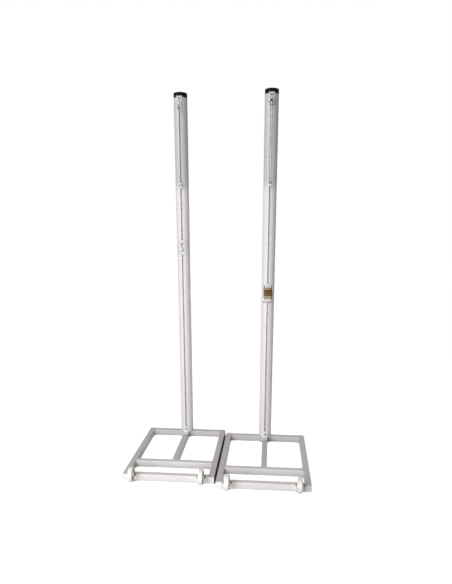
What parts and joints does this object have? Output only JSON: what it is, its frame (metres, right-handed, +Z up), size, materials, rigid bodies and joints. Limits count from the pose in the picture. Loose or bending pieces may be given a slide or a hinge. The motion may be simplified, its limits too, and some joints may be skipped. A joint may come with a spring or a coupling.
{
  "type": "volleyball post pair",
  "caption": "Wheeled free-standing net posts with slotted round profiles, rope slides, a hanging link, a cable sheave and a lever clamp.",
  "frame": {"origin": "middle of the pair's footprint, on the floor", "axes": "+Z up along the posts, -Y to the front where the slots and the wheels are, +X from the left post to the right post"},
  "size_m": [1.255, 0.9866, 2.55],
  "materials": {
    "post_paint": "smooth white powder coat",
    "frame_paint": "satin light grey paint",
    "plug_plastic": "moulded white plastic",
    "cap_plastic": "moulded black plastic",
    "wheel_nylon": "moulded warm white nylon",
    "zinc": "bright zinc plate",
    "dark_steel": "blackened steel",
    "bronze": "brown bronze plate, bare of lettering"
  },
  "bodies": {
    "stands": {"left_inner_rail": "frame_paint", "left_outer_rail": "frame_paint", "left_back_bar": "frame_paint", "left_middle_bar": "frame_paint", "left_front_bar": "frame_paint", "left_centre_rail": "frame_paint", "left_inner_rail_plug": "plug_plastic", "left_outer_rail_plug": "plug_plastic", "left_foot_socket": "frame_paint", "left_foot_bracket": "post_paint", "left_foot_bolt": "dark_steel", "left_inner_fork": "zinc", "left_outer_fork": "zinc", "left_inner_axle_bolt": "dark_steel", "left_outer_axle_bolt": "dark_steel", "left_post": "post_paint", "left_cap": "cap_plastic", "left_top_plate": "post_paint", "left_top_catch": "dark_steel", "left_link_lug": "zinc", "right_inner_rail": "frame_paint", "right_outer_rail": "frame_paint", "right_back_bar": "frame_paint", "right_middle_bar": "frame_paint", "right_front_bar": "frame_paint", "right_centre_rail": "frame_paint", "right_inner_rail_plug": "plug_plastic", "right_outer_rail_plug": "plug_plastic", "right_foot_socket": "frame_paint", "right_foot_bracket": "post_paint", "right_foot_bolt": "dark_steel", "right_inner_fork": "zinc", "right_outer_fork": "zinc", "right_inner_axle_bolt": "dark_steel", "right_outer_axle_bolt": "dark_steel", "right_post": "post_paint", "right_cap": "cap_plastic", "right_top_plate": "post_paint", "right_top_catch": "dark_steel", "right_pulley_bracket": "post_paint", "right_sheave_pin": "dark_steel", "right_cable": "zinc", "right_cable_ferrule": "zinc"},
    "left_inner_wheel": {"left_inner_wheel": "wheel_nylon"},
    "left_outer_wheel": {"left_outer_wheel": "wheel_nylon"},
    "right_inner_wheel": {"right_inner_wheel": "wheel_nylon"},
    "right_outer_wheel": {"right_outer_wheel": "wheel_nylon"},
    "left_link": {"left_net_link": "zinc"},
    "left_upper_slide": {"left_upper_slide": "post_paint", "left_slide_catch": "dark_steel"},
    "left_saddle": {"left_saddle": "post_paint", "left_s_hook": "dark_steel"},
    "right_sheave": {"right_sheave": "dark_steel"},
    "right_upper_slide": {"right_upper_slide": "post_paint"},
    "right_carriage": {"right_carriage": "post_paint", "right_carriage_eye": "zinc", "right_clamp_bar": "dark_steel", "right_lever_pin": "dark_steel"},
    "right_lever": {"right_tension_lever": "zinc", "right_name_plate": "bronze"}
  },
  "joints": [
    {"name": "left_inner_wheel_roll", "type": "hinge", "parent": "stands", "child": "left_inner_wheel", "pos_m": [-0.0875, -0.38625, 0.075], "axis": [1, 0, 0], "continuous": true},
    {"name": "left_outer_wheel_roll", "type": "hinge", "parent": "stands", "child": "left_outer_wheel", "pos_m": [-0.5475, -0.38625, 0.075], "axis": [1, 0, 0], "continuous": true},
    {"name": "right_inner_wheel_roll", "type": "hinge", "parent": "stands", "child": "right_inner_wheel", "pos_m": [0.0875, -0.44325, 0.075], "axis": [1, 0, 0], "continuous": true},
    {"name": "right_outer_wheel_roll", "type": "hinge", "parent": "stands", "child": "right_outer_wheel", "pos_m": [0.5475, -0.44325, 0.075], "axis": [1, 0, 0], "continuous": true},
    {"name": "left_link_swing", "type": "hinge", "parent": "stands", "child": "left_link", "pos_m": [-0.3175, 0.38895, 2.474], "axis": [-1, 0, 0], "range_deg": [-5, 100]},
    {"name": "left_upper_slide_travel", "type": "slide", "parent": "stands", "child": "left_upper_slide", "axis": [0, 0, 1], "range_m": [-0.28, 0.42]},
    {"name": "left_saddle_travel", "type": "slide", "parent": "stands", "child": "left_saddle", "axis": [0, 0, 1], "range_m": [-1.25, 0.06]},
    {"name": "right_sheave_turn", "type": "hinge", "parent": "stands", "child": "right_sheave", "pos_m": [0.3175, 0.31785, 2.4555], "axis": [1, 0, 0], "continuous": true},
    {"name": "right_upper_slide_travel", "type": "slide", "parent": "stands", "child": "right_upper_slide", "axis": [0, 0, 1], "range_m": [0, 0.4], "deforming": ["right_cable"]},
    {"name": "right_carriage_travel", "type": "slide", "parent": "stands", "child": "right_carriage", "axis": [0, 0, 1], "range_m": [-0.9, 0.6]},
    {"name": "right_lever_swing", "type": "hinge", "parent": "right_carriage", "child": "right_lever", "pos_m": [0.3175, 0.33025, 1.231], "axis": [-1, 0, 0], "range_deg": [0, 100]}
  ]
}
